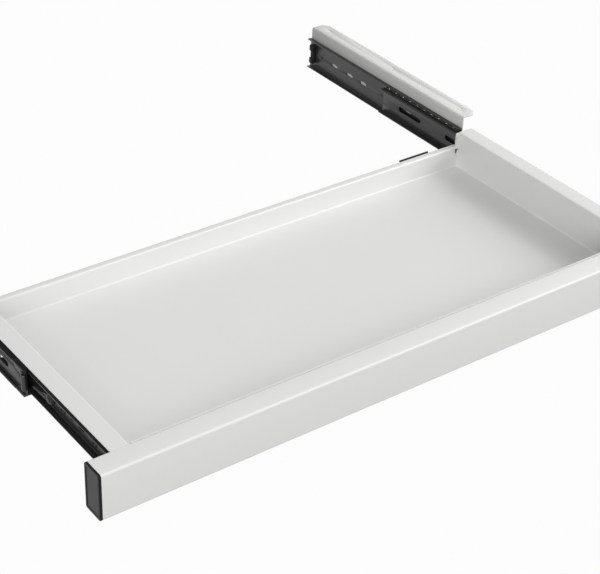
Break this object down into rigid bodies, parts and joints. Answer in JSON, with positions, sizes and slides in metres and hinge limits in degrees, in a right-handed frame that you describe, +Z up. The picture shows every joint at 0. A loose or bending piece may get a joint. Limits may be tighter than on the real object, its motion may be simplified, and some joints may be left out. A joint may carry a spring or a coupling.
{
  "type": "under desk drawer",
  "caption": "Shallow steel drawer with a box-section front rail, hung under a desk top on two telescopic ball slides and screw-on angle brackets.",
  "frame": {"origin": "centre of the rectangle of four desk screw holes, on the plane of the desk's underside, with the drawer drawn fully out", "axes": "+X to the drawer's right as seen by a person sitting at it, -Y the way the drawer pulls out, +Z up through the desk"},
  "size_m": [0.7074, 0.627, 0.056],
  "materials": {
    "tray_paint": "white powder coat, low sheen",
    "rail_paint": "white powder coat, fine texture",
    "bracket_paint": "white powder coat, fine texture",
    "cap_plastic": "black moulded plastic, fine grain",
    "buffer_rubber": "black rubber, matt",
    "slide_black": "black electrophoretic coat on rolled steel",
    "clip_plastic": "black moulded plastic",
    "lever_plastic": "dark grey moulded plastic",
    "cage_steel": "pressed strip, zinc plated",
    "ball_steel": "ground bearing steel, greased",
    "fastener_zinc": "bright zinc plate",
    "screw_black": "black zinc plate"
  },
  "bodies": {
    "desk_rails": {"bracket_left": "bracket_paint", "bracket_right": "bracket_paint", "cabinet_rivets_left": "fastener_zinc", "cabinet_rivets_right": "fastener_zinc", "cabinet_member_left": "slide_black", "cabinet_member_right": "slide_black", "rear_stop_left": "buffer_rubber", "rear_stop_right": "buffer_rubber"},
    "drawer": {"tray_pan": "tray_paint", "front_rail": "rail_paint", "end_cap_left": "cap_plastic", "end_cap_right": "cap_plastic", "rail_rivets": "fastener_zinc", "rear_buffer": "buffer_rubber", "weld_nuts_left": "fastener_zinc", "weld_nuts_right": "fastener_zinc", "slide_screws_left": "screw_black", "slide_screws_right": "screw_black", "drawer_member_left": "slide_black", "drawer_member_right": "slide_black", "lever_rivet_left": "fastener_zinc", "lever_rivet_right": "fastener_zinc"},
    "intermediate_left": {"intermediate_member_left": "slide_black", "front_clip_left": "clip_plastic"},
    "outer_cage_left": {"outer_cage_left": "cage_steel", "outer_balls_left": "ball_steel"},
    "inner_cage_left": {"inner_cage_left": "cage_steel", "inner_balls_left": "ball_steel"},
    "lever_left": {"release_lever_left": "lever_plastic"},
    "intermediate_right": {"intermediate_member_right": "slide_black", "front_clip_right": "clip_plastic"},
    "outer_cage_right": {"outer_cage_right": "cage_steel", "outer_balls_right": "ball_steel"},
    "inner_cage_right": {"inner_cage_right": "cage_steel", "inner_balls_right": "ball_steel"},
    "lever_right": {"release_lever_right": "lever_plastic"}
  },
  "joints": [
    {"name": "drawer_slide", "type": "slide", "parent": "desk_rails", "child": "drawer", "axis": [0, 1, 0], "range_m": [0, 0.3]},
    {"name": "intermediate_slide_left", "type": "slide", "parent": "desk_rails", "child": "intermediate_left", "axis": [0, 1, 0], "range_m": [0, 0.15]},
    {"name": "outer_cage_slide_left", "type": "slide", "parent": "desk_rails", "child": "outer_cage_left", "axis": [0, 1, 0], "range_m": [0, 0.075]},
    {"name": "inner_cage_slide_left", "type": "slide", "parent": "desk_rails", "child": "inner_cage_left", "axis": [0, 1, 0], "range_m": [0, 0.225]},
    {"name": "intermediate_slide_right", "type": "slide", "parent": "desk_rails", "child": "intermediate_right", "axis": [0, 1, 0], "range_m": [0, 0.15]},
    {"name": "outer_cage_slide_right", "type": "slide", "parent": "desk_rails", "child": "outer_cage_right", "axis": [0, 1, 0], "range_m": [0, 0.075]},
    {"name": "inner_cage_slide_right", "type": "slide", "parent": "desk_rails", "child": "inner_cage_right", "axis": [0, 1, 0], "range_m": [0, 0.225]},
    {"name": "lever_turn_left", "type": "hinge", "parent": "drawer", "child": "lever_left", "pos_m": [-0.3185, -0.327, -0.0339], "axis": [1, 0, 0], "range_deg": [0, 8], "stiffness_Nm_per_rad": 0.02},
    {"name": "lever_turn_right", "type": "hinge", "parent": "drawer", "child": "lever_right", "pos_m": [0.3185, -0.327, -0.0339], "axis": [-1, 0, 0], "range_deg": [0, 8], "stiffness_Nm_per_rad": 0.02}
  ],
  "couplings": [
    {"joint": "intermediate_slide_left", "follows": "drawer_slide", "ratio": 0.5},
    {"joint": "outer_cage_slide_left", "follows": "drawer_slide", "ratio": 0.25},
    {"joint": "inner_cage_slide_left", "follows": "drawer_slide", "ratio": 0.75},
    {"joint": "intermediate_slide_right", "follows": "drawer_slide", "ratio": 0.5},
    {"joint": "outer_cage_slide_right", "follows": "drawer_slide", "ratio": 0.25},
    {"joint": "inner_cage_slide_right", "follows": "drawer_slide", "ratio": 0.75}
  ]
}
